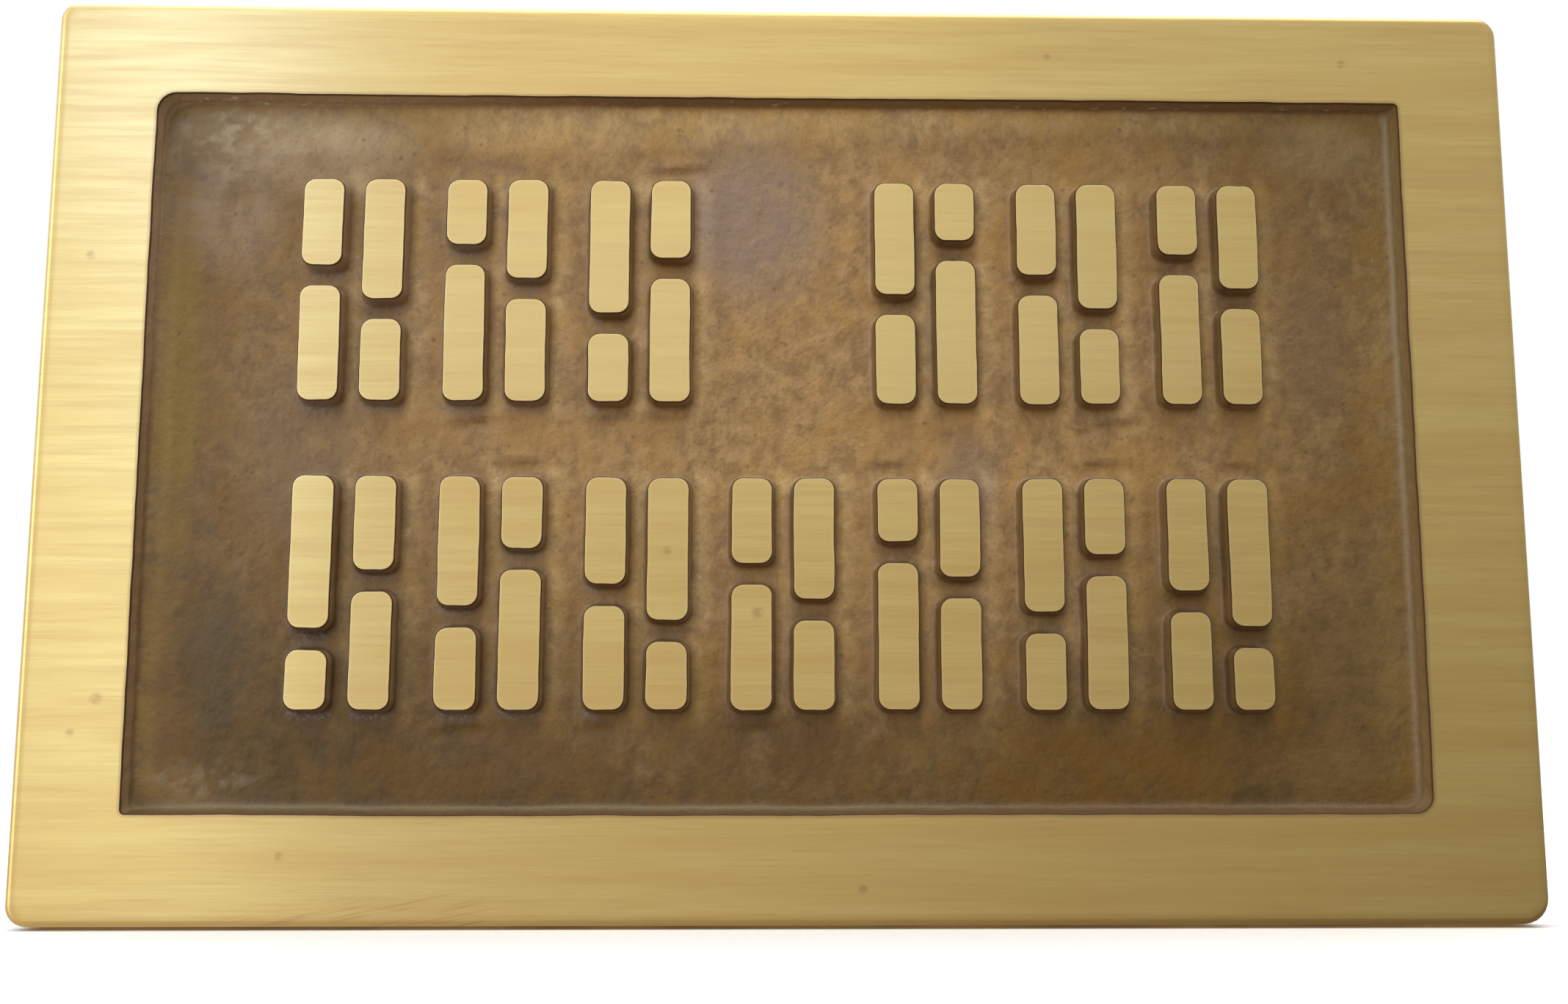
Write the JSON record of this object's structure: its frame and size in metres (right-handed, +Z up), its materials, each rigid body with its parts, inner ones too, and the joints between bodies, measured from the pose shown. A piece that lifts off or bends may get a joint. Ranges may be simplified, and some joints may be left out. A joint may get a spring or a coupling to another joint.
{
  "type": "brass sign plate",
  "caption": "Cast brass wall plate with a raised brushed border, a recessed patinated field and two rows of raised flush strokes.",
  "frame": {"origin": "centre of the flat back face, which lies against the wall", "axes": "+Z up the plate, +X to the right as seen from the front, +Y into the wall; the face looks along -Y"},
  "size_m": [0.16, 0.006, 0.1],
  "materials": {
    "cast_brass": "brushed flat faces, brown patina in the recess, rough cast back"
  },
  "bodies": {
    "root": {"sign_plate": "cast_brass"}
  },
  "joints": []
}
